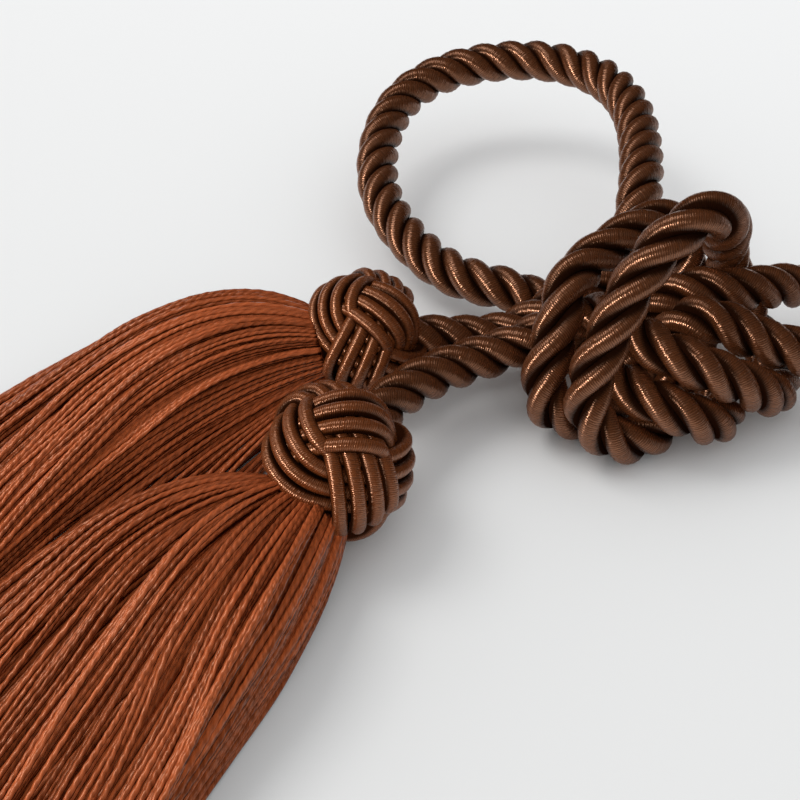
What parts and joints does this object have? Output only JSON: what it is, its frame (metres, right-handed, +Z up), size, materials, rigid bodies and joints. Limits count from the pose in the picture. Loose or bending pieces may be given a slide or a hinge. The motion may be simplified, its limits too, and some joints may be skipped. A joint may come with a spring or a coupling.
{
  "type": "curtain tieback tassel",
  "caption": "Twisted cord tieback, knotted, with a long loop, a small ring and a woven ball with a skirt of strands at each end, for holding a curtain aside.",
  "frame": {"origin": "on the surface the tieback lies on, under the middle of its whole outline", "axes": "+X along the long loop away from the knot, +Y from the tassels towards the small ring, +Z up"},
  "size_m": [0.358, 0.2403, 0.0484],
  "materials": {
    "rope_yarn": "satin wound yarn",
    "head_yarn_front": "satin wound cord",
    "head_yarn_rear": "satin wound cord",
    "skirt_yarn_front": "silky twisted yarn",
    "skirt_yarn_rear": "silky twisted yarn"
  },
  "bodies": {
    "root": {"rope": "rope_yarn", "head_front": "head_yarn_front", "head_rear": "head_yarn_rear", "skirt_front": "skirt_yarn_front", "skirt_rear": "skirt_yarn_rear"}
  },
  "joints": []
}
